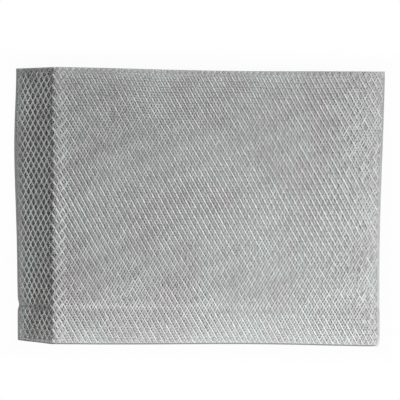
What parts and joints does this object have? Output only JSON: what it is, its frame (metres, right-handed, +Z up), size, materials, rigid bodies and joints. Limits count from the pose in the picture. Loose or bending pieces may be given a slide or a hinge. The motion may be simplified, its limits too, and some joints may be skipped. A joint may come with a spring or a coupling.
{
  "type": "cooker hood grease filter",
  "caption": "Frameless cooker hood grease filter: a thin pad of expanded aluminium mesh sheets, pressed flat at its margins, with a bent-down side flap and a crease near the lower edge.",
  "frame": {"origin": "middle of the pad's footprint, on the surface that it lies on", "axes": "+X from the flap to the far side, +Y to the upper edge, +Z up, out of the front mesh"},
  "size_m": [0.3676, 0.2782, 0.0266],
  "materials": {
    "outer_mesh": "bare expanded aluminium, satin, slightly uneven",
    "inner_mesh": "bare expanded aluminium, satin"
  },
  "bodies": {
    "root": {"front_mesh": "outer_mesh", "inner_mesh_1": "inner_mesh", "inner_mesh_2": "inner_mesh", "inner_mesh_3": "inner_mesh", "back_mesh": "outer_mesh"}
  },
  "joints": []
}
